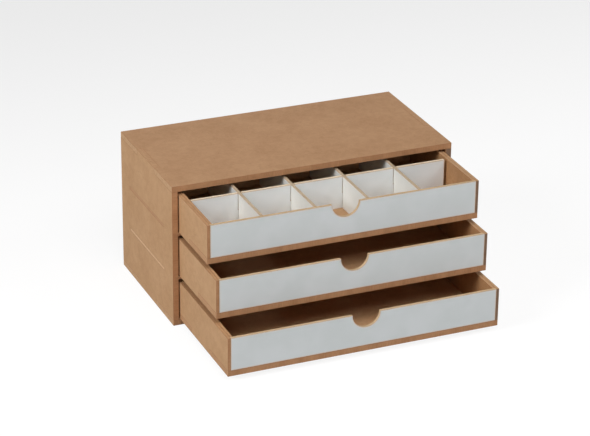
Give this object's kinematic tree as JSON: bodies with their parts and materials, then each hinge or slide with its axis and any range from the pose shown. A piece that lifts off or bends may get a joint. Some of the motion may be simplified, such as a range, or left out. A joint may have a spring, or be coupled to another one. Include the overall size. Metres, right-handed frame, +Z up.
{
  "type": "drawer organizer",
  "caption": "Open-fronted case of tabbed fibreboard with sliding drawers that have half-round finger pulls; the upper drawer holds a grid of half-lapped dividers.",
  "frame": {"origin": "middle of the underside of the case, on the surface that it stands on", "axes": "+X along the width, to the right seen from the front; the drawers open towards -Y; +Z up"},
  "size_m": [0.3, 0.2785, 0.15],
  "materials": {
    "board": "bare sanded 6 mm fibreboard with laser-browned edges",
    "board_thin": "bare 3 mm fibreboard with laser-browned edges",
    "white_faced": "3 mm fibreboard with a matt white face"
  },
  "bodies": {
    "case": {"case_base": "board", "case_top": "board", "case_side_left": "board", "case_side_right": "board", "case_back": "board_thin", "shelf_lower": "board_thin", "shelf_upper": "board_thin"},
    "drawer_lower": {"drawer_lower_floor": "board", "drawer_lower_side_left": "board_thin", "drawer_lower_side_right": "board_thin", "drawer_lower_lining_left": "board_thin", "drawer_lower_lining_right": "board_thin", "drawer_lower_front": "white_faced", "drawer_lower_back": "board_thin"},
    "drawer_middle": {"drawer_middle_floor": "board", "drawer_middle_side_left": "board_thin", "drawer_middle_side_right": "board_thin", "drawer_middle_lining_left": "board_thin", "drawer_middle_lining_right": "board_thin", "drawer_middle_front": "white_faced", "drawer_middle_back": "board_thin"},
    "drawer_upper": {"drawer_upper_floor": "board", "drawer_upper_side_left": "board_thin", "drawer_upper_side_right": "board_thin", "drawer_upper_lining_left": "board_thin", "drawer_upper_lining_right": "board_thin", "drawer_upper_front": "white_faced", "drawer_upper_back": "board_thin", "divider_long": "white_faced", "divider_cross_1": "white_faced", "divider_cross_2": "white_faced", "divider_cross_3": "white_faced", "divider_cross_4": "white_faced"}
  },
  "joints": [
    {"name": "lower_drawer_slide", "type": "slide", "parent": "case", "child": "drawer_lower", "axis": [0, -1, 0], "range_m": [-0.1285, 0.0065]},
    {"name": "middle_drawer_slide", "type": "slide", "parent": "case", "child": "drawer_middle", "axis": [0, -1, 0], "range_m": [-0.099, 0.036]},
    {"name": "upper_drawer_slide", "type": "slide", "parent": "case", "child": "drawer_upper", "axis": [0, -1, 0], "range_m": [-0.076, 0.059]}
  ]
}
